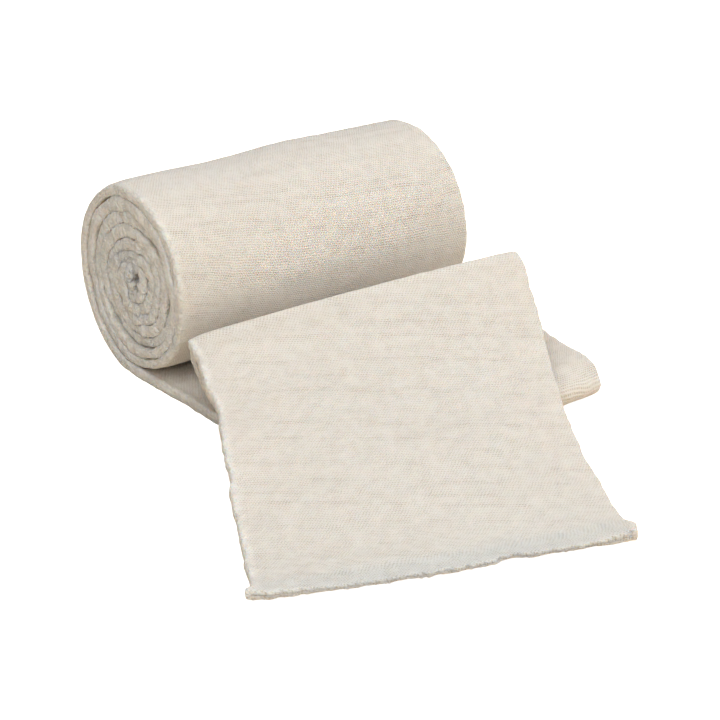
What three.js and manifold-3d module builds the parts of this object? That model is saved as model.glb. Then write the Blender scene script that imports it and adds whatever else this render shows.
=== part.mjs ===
// Tubular bandage: one length of a knitted tube pressed flat, wound into a roll, with its
// loose end laid out in front of the roll in two folds.
// Millimetres. X runs along the roll's axis, -Y is the side of the loose end, +Z is up. The
// sizes below count from the spot where the roll touches the surface, and the finished part
// is moved so that its origin is below the middle of the whole.
import * as THREE from 'three';
import { mergeVertices } from 'three/addons/utils/BufferGeometryUtils.js';
import Module from 'manifold-3d';

const ORIGIN = { x: -15.5, y: -63.9 };

// Cloth
const CLOTH_WIDTH = 100;        // the tube pressed flat, edge to edge
const CLOTH_THICKNESS = 3;      // two knitted plies and the air between them
const CLOTH_COLOUR = 0xe8e1d6;

// Wound roll
const ROLL_RADIUS = 31.9;       // outer side of the last turn, where it would leave a round roll
const OVAL = { size: 0.9, turn: 0.172 }; // the turns sag: longest towards the back, low down
const FLAT_SPOT_DEPTH = 1.1;    // how far the roll is pressed onto the surface
const ROLL_CENTRE_Z = ROLL_RADIUS - FLAT_SPOT_DEPTH;
const TURN_PITCH = 3.7;         // the turns are wound a little loose
const TURNS = 6.6;              // to where the winding closes in on itself
const STEPS_PER_TURN = 40;
const ROLL_SPANS = 12;          // along the roll's axis
const ROLL_WIDTH = 101.4;       // the turns' edges don't lie quite in line
const RIM_DEPTH = 0.7;          // rounding of the last turn's outer edge
const GROOVE_DEPTH = 1.5;       // between one turn's edge and the next
const LAST_TURN_PROUD = 1.5;    // the last turn's edge stands out past the others
const END_DISH = 1.2;           // the ends sink towards the core
const CORE_SHIFT = { y: -0.8, z: 0.6 };
const CORE_POINT_OFFSET = 1;    // keeps the middle of an end off the line of the last turn

// Unevenness: a size in millimetres, how often it comes back in a turn, and where it starts
const TURN_WAVES = [
  { size: 0.5, perTurn: 5, phase: 0 },
  { size: 0.5, perTurn: 2.85, phase: 1 },
];
const END_WAVES = [
  { size: 0.5, perTurn: 2.1, phase: 0 },
  { size: 0.5, perTurn: 1.37, phase: 0 },
];
// The same for the roll's outside, along its axis too, each size as a share of the radius
const ROLL_SWELLS = [
  { size: 0.0084, perTurn: 1, phase: 0.4, perWidth: 1, start: 0.9 },
  { size: 0.007, perTurn: 2, phase: -0.7, perWidth: 1.7, start: -0.6 },
  { size: 0.016, perTurn: 1, phase: -1.12, perWidth: 1.85, start: 0.52 },
];

// Loose end, from the roll to the cut. A row holds the middle of the cloth's thickness at
// its left and right edge, and how far the middle of its width stands above the two.
const LOOSE_END = [
  { at: 'inside the roll', left: [-50.3, 5, 1.4], right: [50.2, 5, 1.4], crown: 0 },
  { at: 'leaves the roll', left: [-49.7, -4, 1.4], right: [50.6, -4, 1.4], crown: 0 },
  { at: 'floor', left: [-46.6, -30, 1.4], right: [53, -28, 1.4], crown: 0 },
  { at: 'floor, front', left: [-43.6, -78, 1.4], right: [56.2, -71, 1.4], crown: 0 },
  { at: 'front fold, lower', left: [-43.2, -90.4, 1.6], right: [56.8, -83.8, 1.6], crown: 0 },
  { at: 'front fold, nose', left: [-43, -94.2, 4.2], right: [56.9, -88, 4.8], crown: 0 },
  { at: 'front fold, upper', left: [-43.2, -89.6, 6.8], right: [56.8, -82.6, 7.9], crown: 0 },
  { at: 'second layer', left: [-44.4, -70, 6.8], right: [56.6, -71.4, 9], crown: -0.4 },
  { at: 'second layer, back', left: [-46.6, -48, 6.6], right: [56.2, -60, 10.2], crown: -0.4 },
  { at: 'foot of the rise', left: [-48, -38, 9.4], right: [55.2, -52, 13.6], crown: 0 },
  { at: 'rise', left: [-49.4, -34.2, 17], right: [53.6, -48, 23], crown: 0 },
  { at: 'back fold, behind', left: [-50.2, -34.4, 23], right: [52.2, -48.4, 30.2], crown: 0.4 },
  { at: 'back fold, top', left: [-50.6, -37.2, 26], right: [51.6, -51.4, 33.6], crown: 0.9 },
  { at: 'back fold, front', left: [-51.8, -41.4, 25], right: [50.2, -55.6, 32.2], crown: 0.8 },
  { at: 'slope, upper', left: [-57.4, -57, 19.4], right: [44.6, -72, 23.4], crown: 0.5 },
  { at: 'slope, middle', left: [-63.3, -74, 14.6], right: [36.3, -91, 15.2], crown: 0.2 },
  { at: 'slope, over the front fold', left: [-69.6, -90, 10], right: [28.9, -108, 9.8], crown: 0.6 },
  { at: 'slope, foot', left: [-76.4, -106, 5], right: [23.2, -126, 4.6], crown: 0.6 },
  { at: 'floor again', left: [-81.8, -119, 1.8], right: [18.2, -142, 1.8], crown: -0.3 },
  { at: 'before the cut', left: [-85.4, -127, 1.7], right: [14.8, -153, 1.8], crown: -0.35 },
  { at: 'cut end', left: [-88.2, -131.4, 2.7], right: [13.2, -159.6, 3], crown: -1.1 },
];
const SECTION_STEP = 3.6;       // between cross sections, along the cloth
const STEPS_PER_ROW = 2;        // cross sections from one row to the next, at least
const SUNK = 0.1;               // what the surface takes off below

// The tube's folded edges wave in and out
const SCALLOPS = [
  { size: 0.35, pitch: 17, left: 0.4, right: 2.3 },
  { size: 0.21, pitch: 29.8, left: 0.8, right: 4.6 },
];

// Across the loose end: distance in from each edge, and the share of the half thickness there
const EDGE_ROUND = [
  { inset: 0.45, share: 0.62 },
  { inset: 1.7, share: 1 },
];
const INNER_LINES = 4;          // further lines between the two rounded edges

const wasm = await Module();
wasm.setup();

function toManifold(points, triangles) {
  const vertProperties = new Float32Array(points.flat());
  const triVerts = new Uint32Array(triangles.flat());
  return new wasm.Manifold(new wasm.Mesh({ numProp: 3, vertProperties, triVerts }));
}

function toGeometry(manifold) {
  const mesh = manifold.getMesh();
  const geometry = new THREE.BufferGeometry();
  geometry.setAttribute('position', new THREE.BufferAttribute(mesh.vertProperties, mesh.numProp));
  geometry.setIndex(new THREE.BufferAttribute(mesh.triVerts, 1));
  return geometry;
}

function solidFrom(geometry) {
  geometry.deleteAttribute('normal');
  geometry.deleteAttribute('uv');
  const merged = mergeVertices(geometry);
  const vertProperties = new Float32Array(merged.attributes.position.array);
  const triVerts = new Uint32Array(merged.index.array);
  return new wasm.Manifold(new wasm.Mesh({ numProp: 3, vertProperties, triVerts }));
}

function quad(a, b, c, d) {
  return [[a, b, c], [a, c, d]];
}

// Wound roll. Steps count along the cloth from the place where it leaves the roll at the
// bottom, round the back, the top and the front, and on inwards.
function angleAt(step) {
  return (2 * Math.PI * step) / STEPS_PER_TURN;
}

function waveSum(waves, step) {
  return waves.reduce((sum, { size, perTurn, phase }) => (
    sum + size * Math.sin(perTurn * angleAt(step) + phase)), 0);
}

function windingPoint(step, inset = 0) {
  const angle = angleAt(step);
  const radius = ROLL_RADIUS - (TURN_PITCH * step) / STEPS_PER_TURN - inset;
  const depth = 1 - radius / ROLL_RADIUS;
  const oval = OVAL.size * Math.min(1, radius / 12) * Math.cos(2 * (angle - 2 * Math.PI * OVAL.turn));
  const reach = radius + oval + depth * waveSum(TURN_WAVES, step);
  return {
    depth,
    y: reach * Math.sin(angle) + CORE_SHIFT.y * depth,
    z: ROLL_CENTRE_Z - reach * Math.cos(angle) + CORE_SHIFT.z * depth,
  };
}

function endX(step, depth) {
  const turn = step / STEPS_PER_TURN;
  const proud = LAST_TURN_PROUD * THREE.MathUtils.smoothstep(turn, 0.75, 1.15);
  return ROLL_WIDTH / 2 - proud - END_DISH * depth + Math.min(1, 2 * depth) * waveSum(END_WAVES, step);
}

function addRollEnd(side, points, triangles) {
  const lastGroove = Math.round(TURNS * STEPS_PER_TURN);
  const lastCrest = lastGroove - STEPS_PER_TURN;
  const grooves = [];
  for (let step = 0; step <= lastGroove; step += 1) {
    const at = windingPoint(step);
    const below = THREE.MathUtils.lerp(RIM_DEPTH, GROOVE_DEPTH, Math.min(1, step / STEPS_PER_TURN));
    grooves.push(points.push([side * (endX(step, at.depth) - below), at.y, at.z]) - 1);
  }
  const crests = [];
  for (let step = 0; step <= lastCrest; step += 1) {
    const at = windingPoint(step, TURN_PITCH / 2);
    crests.push(points.push([side * endX(step, at.depth), at.y, at.z]) - 1);
  }
  const seam = angleAt(lastGroove);
  const core = points.push([
    side * (ROLL_WIDTH / 2 - LAST_TURN_PROUD - END_DISH - GROOVE_DEPTH),
    CORE_SHIFT.y + CORE_POINT_OFFSET * Math.cos(seam),
    ROLL_CENTRE_Z + CORE_SHIFT.z + CORE_POINT_OFFSET * Math.sin(seam),
  ]) - 1;

  const face = [];
  for (let step = 0; step < lastCrest; step += 1) {
    const inner = step + STEPS_PER_TURN;
    face.push(...quad(grooves[step], grooves[step + 1], crests[step + 1], crests[step]));
    face.push(...quad(crests[step], crests[step + 1], grooves[inner + 1], grooves[inner]));
  }
  for (let step = lastCrest; step < lastGroove; step += 1) {
    face.push([grooves[step], grooves[step + 1], core]);
  }
  face.push([grooves[lastGroove], crests[lastCrest], core]);
  face.push([crests[lastCrest], grooves[lastCrest], core]);
  triangles.push(...(side > 0 ? face : face.map(([a, b, c]) => [a, c, b])));
  return { grooves, crests };
}

function swellAt(share, angle) {
  return Math.sin(Math.PI * share) * ROLL_SWELLS.reduce((sum, swell) => {
    const along = Math.sin(2 * Math.PI * swell.perWidth * share + swell.start);
    return sum + swell.size * along * Math.sin(swell.perTurn * angle + swell.phase);
  }, 0);
}

function makeRoll() {
  const points = [];
  const triangles = [];
  const left = addRollEnd(-1, points, triangles);
  const right = addRollEnd(1, points, triangles);

  const rows = [];
  for (let step = 0; step <= STEPS_PER_TURN; step += 1) {
    const at = windingPoint(step);
    const row = [left.grooves[step]];
    for (let span = 1; span < ROLL_SPANS; span += 1) {
      const share = span / ROLL_SPANS;
      const swell = 1 + swellAt(share, angleAt(step));
      const x = THREE.MathUtils.lerp(points[left.grooves[step]][0], points[right.grooves[step]][0], share);
      row.push(points.push([x, at.y * swell, ROLL_CENTRE_Z + (at.z - ROLL_CENTRE_Z) * swell]) - 1);
    }
    row.push(right.grooves[step]);
    rows.push(row);
  }
  for (let step = 0; step < STEPS_PER_TURN; step += 1) {
    for (let span = 0; span < ROLL_SPANS; span += 1) {
      const [here, next] = [rows[step], rows[step + 1]];
      triangles.push(...quad(here[span], next[span], next[span + 1], here[span + 1]));
    }
  }

  // The step where the last turn's cloth leaves, later filled by the loose end
  const outer = rows[0];
  const inner = rows[STEPS_PER_TURN];
  for (let span = 0; span < ROLL_SPANS; span += 1) {
    triangles.push(...quad(outer[span], outer[span + 1], inner[span + 1], inner[span]));
  }
  triangles.push([left.crests[0], outer[0], inner[0]]);
  triangles.push([right.crests[0], inner[ROLL_SPANS], outer[ROLL_SPANS]]);
  return toManifold(points, triangles);
}

// Loose end
function edgeCurve(side) {
  const points = LOOSE_END.map((row) => new THREE.Vector3(...row[side]));
  return new THREE.CatmullRomCurve3(points, false, 'centripetal');
}

function distance(from, to) {
  return Math.hypot(to[0] - from[0], to[1] - from[1], to[2] - from[2]);
}

// Where the cross sections lie: the row they follow, the share of the way to the next row,
// and the length of cloth up to there
function stations() {
  const list = [];
  let length = 0;
  for (let row = 0; row < LOOSE_END.length - 1; row += 1) {
    const [here, next] = [LOOSE_END[row], LOOSE_END[row + 1]];
    const span = (distance(here.left, next.left) + distance(here.right, next.right)) / 2;
    const steps = Math.max(STEPS_PER_ROW, Math.round(span / SECTION_STEP));
    for (let step = 0; step < steps; step += 1) {
      list.push({ row, share: step / steps, length: length + (span * step) / steps });
    }
    length += span;
  }
  list.push({ row: LOOSE_END.length - 2, share: 1, length });
  return list;
}

// Lines along the cloth: how far across its width, and the share of the half thickness there
function lines() {
  const rounded = EDGE_ROUND.map(({ inset, share }) => ({ across: inset / CLOTH_WIDTH, share }));
  const first = rounded.at(-1).across;
  const flat = [];
  for (let line = 1; line <= INNER_LINES; line += 1) {
    flat.push({ across: THREE.MathUtils.lerp(first, 1 - first, line / (INNER_LINES + 1)), share: 1 });
  }
  const opposite = rounded.map(({ across, share }) => ({ across: 1 - across, share })).reverse();
  return [{ across: 0, share: 0 }, ...rounded, ...flat, ...opposite, { across: 1, share: 0 }];
}

function scallop(length, side) {
  return SCALLOPS.reduce((sum, wave) => (
    sum + wave.size * Math.sin((2 * Math.PI * length) / wave.pitch + wave[side])), 0);
}

function middleSurface(across) {
  const leftCurve = edgeCurve('left');
  const rightCurve = edgeCurve('right');
  return stations().map(({ row, share, length }) => {
    const place = (row + share) / (LOOSE_END.length - 1);
    const left = leftCurve.getPoint(place);
    const right = rightCurve.getPoint(place);
    const outward = right.clone().sub(left).normalize();
    left.addScaledVector(outward, -scallop(length, 'left'));
    right.addScaledVector(outward, scallop(length, 'right'));
    const crown = THREE.MathUtils.lerp(LOOSE_END[row].crown, LOOSE_END[row + 1].crown, share);
    return across.map((line) => {
      const point = left.clone().lerp(right, line.across);
      point.z += crown * Math.sin(Math.PI * line.across);
      return point;
    });
  });
}

// Points from the middle of the thickness to the side that is uppermost on the floor
function normalAt(surface, section, line) {
  const before = surface[Math.max(section - 1, 0)][line];
  const after = surface[Math.min(section + 1, surface.length - 1)][line];
  const along = after.clone().sub(before);
  const width = surface[section].at(-1).clone().sub(surface[section][0]);
  return along.cross(width).normalize();
}

function endCap({ upper, lower }, last) {
  const cap = [[upper[0], upper[1], lower[1]], [upper[last - 1], upper[last], lower[last - 1]]];
  for (let line = 1; line < last - 1; line += 1) {
    cap.push(...quad(upper[line], upper[line + 1], lower[line + 1], lower[line]));
  }
  return cap;
}

function makeLooseEnd() {
  const across = lines();
  const last = across.length - 1;
  const surface = middleSurface(across);
  const points = [];
  const triangles = [];
  const addPoint = (section, line, sign) => {
    const half = (sign * CLOTH_THICKNESS * across[line].share) / 2;
    const point = surface[section][line].clone();
    point.addScaledVector(normalAt(surface, section, line), half);
    return points.push([point.x, point.y, Math.max(point.z, -SUNK)]) - 1;
  };
  const rings = surface.map((row, section) => {
    const upper = row.map((middle, line) => addPoint(section, line, 1));
    const lower = row.slice(1, last).map((middle, line) => addPoint(section, line + 1, -1));
    return { upper, lower: [upper[0], ...lower, upper[last]] };
  });
  for (let section = 0; section < rings.length - 1; section += 1) {
    const [here, next] = [rings[section], rings[section + 1]];
    for (let line = 0; line < last; line += 1) {
      const [a, b] = [line, line + 1];
      triangles.push(...quad(here.upper[a], next.upper[a], next.upper[b], here.upper[b]));
      triangles.push(...quad(here.lower[b], next.lower[b], next.lower[a], here.lower[a]));
    }
  }
  triangles.push(...endCap(rings[0], last));
  triangles.push(...endCap(rings.at(-1), last).map(([a, b, c]) => [a, c, b]));
  return toManifold(points, triangles);
}

// One piece: the roll and its loose end, flat where they lie on the surface
function makeBandage() {
  const above = new THREE.BoxGeometry(4 * CLOTH_WIDTH, 5 * CLOTH_WIDTH, CLOTH_WIDTH);
  above.translate(0, -CLOTH_WIDTH / 2, CLOTH_WIDTH / 2);
  const solid = makeRoll().add(makeLooseEnd()).intersect(solidFrom(above));
  const cloth = new THREE.MeshStandardMaterial({ color: CLOTH_COLOUR, roughness: 0.95, metalness: 0 });
  const bandage = new THREE.Mesh(toGeometry(solid), cloth);
  bandage.name = 'bandage';
  bandage.position.set(-ORIGIN.x, -ORIGIN.y, 0);
  return bandage;
}

const part = new THREE.Group();
part.add(makeBandage());

export default part;
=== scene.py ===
"""Tubular bandage: a flat knitted tube wound into a roll, its loose end laid out in two folds.

The cloth is one closed skin, swept along the way that the flat tube lies: from the core of the
roll outwards, off the roll at the bottom, and over the two folds to the cut, where its two plies
part. Lengths in the tables are millimetres, counted from the spot where the roll touches the
surface.
"""

import math

import bpy
import numpy as np
from bpy.props import FloatProperty, FloatVectorProperty, PointerProperty
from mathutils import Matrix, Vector


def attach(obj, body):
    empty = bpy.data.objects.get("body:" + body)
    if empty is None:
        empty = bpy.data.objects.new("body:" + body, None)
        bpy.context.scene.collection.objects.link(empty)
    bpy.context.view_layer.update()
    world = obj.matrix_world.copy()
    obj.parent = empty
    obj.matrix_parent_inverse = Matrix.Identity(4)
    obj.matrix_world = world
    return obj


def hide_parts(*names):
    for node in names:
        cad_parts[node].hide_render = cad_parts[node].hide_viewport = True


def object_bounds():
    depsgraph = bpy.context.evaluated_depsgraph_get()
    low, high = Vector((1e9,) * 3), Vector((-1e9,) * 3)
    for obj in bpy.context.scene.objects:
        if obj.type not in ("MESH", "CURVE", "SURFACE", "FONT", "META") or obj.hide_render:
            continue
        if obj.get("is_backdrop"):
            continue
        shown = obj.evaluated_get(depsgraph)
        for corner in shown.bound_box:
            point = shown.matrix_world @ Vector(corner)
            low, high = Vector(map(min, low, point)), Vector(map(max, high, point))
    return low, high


bl_info = {
    "name": "Tubular Bandage Roll",
    "version": (1, 0, 0),
    "blender": (4, 5, 0),
    "location": "3D View > Sidebar > Bandage",
    "description": "Winds a flat knitted tube into a roll with a folded loose end",
    "category": "Object",
}

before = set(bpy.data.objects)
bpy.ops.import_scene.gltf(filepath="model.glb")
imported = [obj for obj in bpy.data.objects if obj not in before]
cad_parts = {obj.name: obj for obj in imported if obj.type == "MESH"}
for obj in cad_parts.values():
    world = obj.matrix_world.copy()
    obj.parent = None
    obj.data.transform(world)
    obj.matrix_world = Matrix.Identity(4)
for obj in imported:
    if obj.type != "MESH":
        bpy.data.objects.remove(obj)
CAD_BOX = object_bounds()

MM = 0.001
# Where the part frame has its origin, in the millimetres of the tables
ORIGIN = np.array([-15.5, -63.9, 0.0])
# Names that more than one step uses
CLOTH_MAP = "cloth"
FUZZ_GROUP = "Cotton fuzz"


def table(columns, *rows):
    """Rows of values under the names of their columns."""
    names = columns.split()
    return [dict(zip(names, row)) for row in rows]


# Sizes of this bandage, in millimetres

# The loose end, from the roll to the cut: the middle of the cloth's thickness at its left and
# right edge, and how far the middle of its width stands above the two.
LOOSE_END = table(
    "at left right crown",
    ("leaves the roll", (-49.7, -4, 1.45), (50.6, -4, 1.45), 0),
    ("floor", (-46.6, -30, 1.45), (53, -28, 1.45), 0),
    ("floor, front", (-43.6, -78, 1.45), (56.2, -71, 1.45), 0),
    ("front fold, lower", (-43.2, -90.4, 1.6), (56.8, -83.8, 1.6), 0),
    ("front fold, nose", (-43, -94.2, 4.2), (57.6, -87.2, 5.1), 0),
    ("front fold, upper", (-43.2, -89.6, 6.8), (57.8, -82.2, 8.3), 0),
    ("second layer", (-44.4, -70, 6.8), (57, -71.4, 9.2), -0.4),
    ("second layer, back", (-46.6, -48, 6.6), (56.2, -60, 10.2), -0.4),
    ("foot of the rise", (-47.2, -38, 9.4), (55.2, -52, 13.6), 0),
    ("rise", (-48.4, -34.2, 17), (53.6, -48, 23), 0),
    ("back fold, behind", (-49.8, -34.4, 23), (52.2, -48.4, 30.2), 0.4),
    ("back fold, top", (-52.6, -37.2, 26), (51.6, -51.4, 33.6), 0.9),
    ("back fold, front", (-53, -41.4, 25), (50.2, -55.6, 32.2), 0.8),
    ("slope, upper", (-57.4, -57, 19.4), (44.6, -72, 23.4), 0.5),
    ("slope, middle", (-63.3, -74, 14.6), (36.3, -91, 15.2), 0.2),
    ("slope, over the front fold", (-69.6, -90, 10), (28.9, -108, 9.8), 0.6),
    ("slope, foot", (-76.4, -106, 5), (23.2, -126, 4.6), 0.6),
    ("floor again", (-81.8, -119, 1.8), (18.2, -142, 1.8), -0.3),
    ("before the cut", (-85.4, -127, 1.7), (14.8, -153, 1.8), -0.35),
    ("cut end", (-88.2, -131.4, 2.2), (13.2, -159.6, 2.5), -0.9),
)
# Corners that are pulled out of the even edge: millimetres inwards and down, over what length of
# the edge, and how far into the cloth. A place that is a number is a turn of the roll.
CORNERS = table(
    "at side inwards down reach deep",
    ("back fold, top", "right", 0.6, 0.3, 3.4, 5),
    ("back fold, top", "left", 1.2, 0.8, 3.6, 4),
    ("front fold, nose", "right", 1.6, 0, 4.2, 5),
    ("front fold, nose", "left", 1, 0, 3.6, 4),
    ("cut end", "left", -1.3, -0.6, 3, 4),
    (0.46, "right", 0.4, 0.7, 20, 10),
)

# The roll: half its length at the outer turn, how far the turns inside that stay back from its
# ends, how much further the core does, and how far the core hangs down and to the back
ROLL_HALF = 50.35
TURNS_BACK = 0.7
CORE_BACK = 1.4
CORE_DROP = 1.2
# The outer turn reaches to about this turn, and the looser turns follow inside it
OUTER_TURN = 0.9
# Inside this radius the turns are less and less oval
OVAL_RADIUS = 12
# The least radius that the steps between the turns' sections are worked out from
CORE_RADIUS = 2.5
# The cloth of one turn, for the places where its edges wander
TURN_CLOTH = 160
# How the turns stray from an even spiral: size in millimetres, swings per turn, phase
TURN_WAVES = table(
    "size per_turn phase",
    (0.5, 5, 0),
    (0.5, 2.85, 1),
    (0.16, 12.3, 2),
)
# The roll's outside swells along its axis too, each size as a share of the radius
ROLL_SWELLS = table(
    "size per_turn phase per_width start",
    (0.0084, 1, 0.4, 1, 0.9),
    (0.007, 2, -0.7, 1.7, -0.6),
    (0.016, 1, -1.12, 1.85, 0.52),
)
# How far the turns between the outer one and the core sag
SAG = 1.2
# Places where one turn stands off the next, its reach in turns
SLACK_SPOTS = table(
    "turn reach inwards",
    (6.1, 0.1, 0.3),
    (4.45, 0.08, 0.3),
    (3.2, 0.07, 0.2),
)
# The two long edges wander in and out in the roll, each size over a length of cloth
EDGE_WANDERS = table(
    "size pitch seed",
    (0.75, 61, 3),
    (0.45, 19, 5),
    (0.2, 6.1, 7),
    (0.14, 2.7, 9),
    (0.1, 1.4, 11),
)
# The folded edges of the turns are fuller and thinner by turns, as a share of the thickness
EDGE_PUFFS = table(
    "size pitch seed",
    (0.12, 7.3, 83),
    (0.1, 3.1, 87),
    (0.09, 1.6, 91),
)
PUFF_REACH = 3.2
# The cloth is a little uneven in thickness too, each size over a stretch across and along it
LUMPS = table(
    "size across along seed",
    (0.05, 11, 7, 21),
    (0.05, 2.4, 2.1, 23),
)
# The loose end's two edges are scalloped, and the right one's seeds stand apart from the left one's
SCALLOPS = table(
    "size pitch seed",
    (0.24, 3.7, 31),
    (0.12, 1.7, 32),
)
RIGHT_SEED = 6
# How far the two edges of the loose end stray outwards, by their distance past the back fold's top
EDGE_SHAPE = table(
    "past left right",
    (-30, 0, 0),
    (-4, 0.4, 1.2),
    (0, 0.8, 1),
    (4, 0.3, 0.9),
    (7, -0.4, 0.9),
    (12, -0.2, 0.7),
    (18, 0, 0.3),
    (22, -0.4, 0.5),
    (26, -1.3, 0.5),
    (34, -1.3, 0.2),
    (38, -0.4, 0.1),
    (46, 0, 0),
    (54, 0.1, 0.3),
    (60, 0, -0.2),
    (66, 0.8, 0),
    (72, 0.7, -0.1),
    (78, 0.2, -0.6),
    (82, 0.1, -0.2),
    (86, 0.6, 0.3),
    (90, 0.2, 0.5),
    (94, 0.5, 0.1),
    (98, 0.2, 0),
    (102, 0.4, 0.1),
    (106, 0.6, -0.2),
    (110, 0.3, 0.6),
    (114, 0, -0.3),
)
# Across the flat tube near an edge: distance in, the share of the half thickness there, and the
# rounder share of the side that shows in the outer turn and on the flap
EDGE_SECTION = table(
    "inset share outer",
    (0.07, 0.6, 0.24),
    (0.28, 0.92, 0.46),
    (0.7, 1.02, 0.64),
    (1.3, 1.04, 0.79),
    (2.3, 1, 0.92),
    (3.6, 0.98, 0.97),
    (6, 1, 1),
)
# How much of the rounder share the flap has, and how much of it the roll's right end lacks
FLAP_ROUNDING = 0.35
RIGHT_END_BLUNT = 0.75
# The cut, from its left edge to its right: how far it runs past its mean, how far short of that
# the lower ply stops, how thick the cloth is there against the rest, and how far it is lifted
CUT_LINE = table(
    "across past short thick lift",
    (0, 0.1, 0.1, 0.9, 0.5),
    (2, 0.5, 0.2, 0.95, 0.5),
    (5, 1.4, 0.4, 0.85, 0.4),
    (8, 0.9, 0.5, 0.8, 0.4),
    (11, 1.1, 0.5, 0.75, 0.3),
    (15, 0.6, 0.3, 0.7, 0.1),
    (20, 0.9, 0.2, 0.65, 0),
    (30, 1.2, 0.2, 0.6, 0),
    (40, 0.9, 0.3, 0.6, 0),
    (50, 1.2, 0.3, 0.6, 0),
    (61, 0.6, 0.3, 0.6, 0),
    (67, -0.6, 0.3, 0.6, 0),
    (72, 0.4, 0.4, 0.6, 0),
    (80, 0.9, 0.9, 0.65, 0.1),
    (84, 2.1, 1.4, 0.7, 0.3),
    (92, 2.2, 1.2, 0.85, 0.4),
    (97, 1.7, 0.6, 1.15, 0.7),
    (100, 1.2, 0, 1.2, 0.9),
)
# The raw edge's bumps along each ply
CUT_BUMPS = table(
    "size pitch seed",
    (0.38, 2.5, 55),
    (0.3, 1.2, 59),
)
# How far the cut changes the cloth, the thickness of one ply there, and half the least gap between
# the two plies
CUT_ZONE = 12.0
PLY = 1.9
HALF_GAP = 0.04
# Small loops of cut yarn along the raw edge of each ply. The pairs are the least and the most of how
# far a loop stands out, its half width, how deep in the ply it starts, how much deeper its middle is
# and how far on the next loop stands, as a share of the pitch. LOOP_FOOT is how far past the edge a
# loop's two feet are.
YARN_PITCH = 0.85
YARN_RADIUS = 0.24
YARN_SEED = 71
YARN_SIDES = 6
LOOP_OUT = (0.05, 0.5)
LOOP_WIDE = (0.3, 0.6)
LOOP_DEEP = (0.25 * PLY, 0.8 * PLY)
LOOP_TILT = (-0.35, 0.35)
LOOP_SPACING = (0.7, 1.4)
LOOP_FOOT = 0.05
LOOP_POINTS = 8
# How far from the cloth's two folded edges the loops stop
LOOPLESS_EDGE = 1.0
# No loop runs along this direction, so a loop's sides can be measured from it
OFF_LOOP = (0.13, 0.21, 0.97)
# From a ply's outside to its inside over the cut: share of the ply, and how far it stands out
LIP_RINGS = table(
    "share out",
    (0.14, 0.22),
    (0.45, 0.42),
    (0.8, 0.5),
    (1, 0.5),
)
# Back inside the tube from the cut: distance, and how open it still is
INSIDE_RINGS = table(
    "back open",
    (0.8, 1),
    (2, 0.8),
    (4, 0.45),
    (7, 0.05),
)

# The knit's rows climb while they go round the tube: over how many rows in all, the share of that
# on the first side, and how the climb steepens over the second
CLIMB_ROWS = 68
FIRST_SIDE_CLIMB = 0.68
SECOND_SIDE_CURVE = 1.7

# Steps along the loose end and near its cut, how far back in the roll its curve takes its lead, and
# at how many points the curve is measured
LOOSE_STEP = 0.8
CUT_STEP = 0.6
LEAD_ROWS = 8
CURVE_POINTS = 6000
# Lines along the cloth: gaps between the two edge sections, and the finer gap near the cut
FLAT_GAPS = 36
FINE_GAP = 0.64
# Inside this turn of the roll only the cloth's two edges can be seen
HIDDEN_TURN = 1.12

# How many random values an unevenness goes round, along a line and over a surface, and which of
# them it starts at
LINE_KNOTS = 2048
LINE_START = 600
FACE_KNOTS = (256, 1024)
FACE_START = 40

# How the cotton shines and lets light through
COTTON_SHEEN = {
    "Specular IOR Level": 0.12,
    "Sheen Weight": 0.12,
    "Sheen Roughness": 0.6,
    "Subsurface Weight": 0.6,
    "Subsurface Scale": 0.0045,
    "Subsurface Radius": (1, 0.72, 0.5),
}
# How fine the loose fibres are on the cloth and on the cut yarn
CLOTH_FIBRE = 0.35
YARN_FIBRE = 0.25

# Soft square lights that face the bandage, in metres
LIGHT_WIDTH = 0.9
LIGHT_AIM = (0, 0, 0.02)
LIGHTS = table(
    "name place watts",
    ("key light", (-0.5, -0.6, 0.85), "key_watts"),
    ("right light", (0.8, -0.7, 0.6), "right_watts"),
    ("top light", (0.6, -0.1, 0.95), "top_watts"),
    ("back light", (0.1, 0.6, 0.95), "back_watts"),
)
FLOOR_SIZE = 12
# The camera's lens and sensor, its place and the point that it faces
LENS = 133.1
SENSOR = 36
CAMERA_PLACE = (-379.9, -630.7, 350.5)
CAMERA_AIM = (11.98, -27.74, 0.0)


# Shared sums


def ease(low, high, value):
    """0 below low, 1 above high and a smooth rise between."""
    t = np.clip((np.asarray(value, float) - low) / (high - low), 0, 1)
    return t * t * (3 - 2 * t)


def wander(along, pitch, seed):
    """Smooth unevenness from -1 to 1 along a line, with a new value every pitch."""
    knots = np.random.default_rng(seed).uniform(-1, 1, LINE_KNOTS)
    place = np.asarray(along, float) / pitch + LINE_START
    low = np.floor(place).astype(int)
    t = ease(low, low + 1, place)
    return knots[low % LINE_KNOTS] * (1 - t) + knots[(low + 1) % LINE_KNOTS] * t


def patchy(across, along, pitch_across, pitch_along, seed):
    """The same over a surface."""
    knots = np.random.default_rng(seed).uniform(-1, 1, FACE_KNOTS)
    wide, long = FACE_KNOTS
    u = np.asarray(across, float) / pitch_across + FACE_START
    v = np.asarray(along, float) / pitch_along + FACE_START
    iu, iv = np.floor(u).astype(int), np.floor(v).astype(int)
    tu, tv = ease(iu, iu + 1, u), ease(iv, iv + 1, v)

    def line(row):
        return knots[row % wide, iv % long] * (1 - tv) + knots[row % wide, (iv + 1) % long] * tv

    return line(iu) * (1 - tu) + line(iu + 1) * tu


def wanders(rows, along, side=0):
    """The unevenness of all rows of a table together, which differs from side to side."""
    return sum(row["size"] * wander(along, row["pitch"], row["seed"] + side) for row in rows)


def column(rows, name):
    """One column of a table as an array."""
    return np.array([row[name] for row in rows], float)


def unit(vectors):
    """Vectors of length one."""
    return vectors / np.linalg.norm(vectors, axis=-1, keepdims=True)


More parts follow.
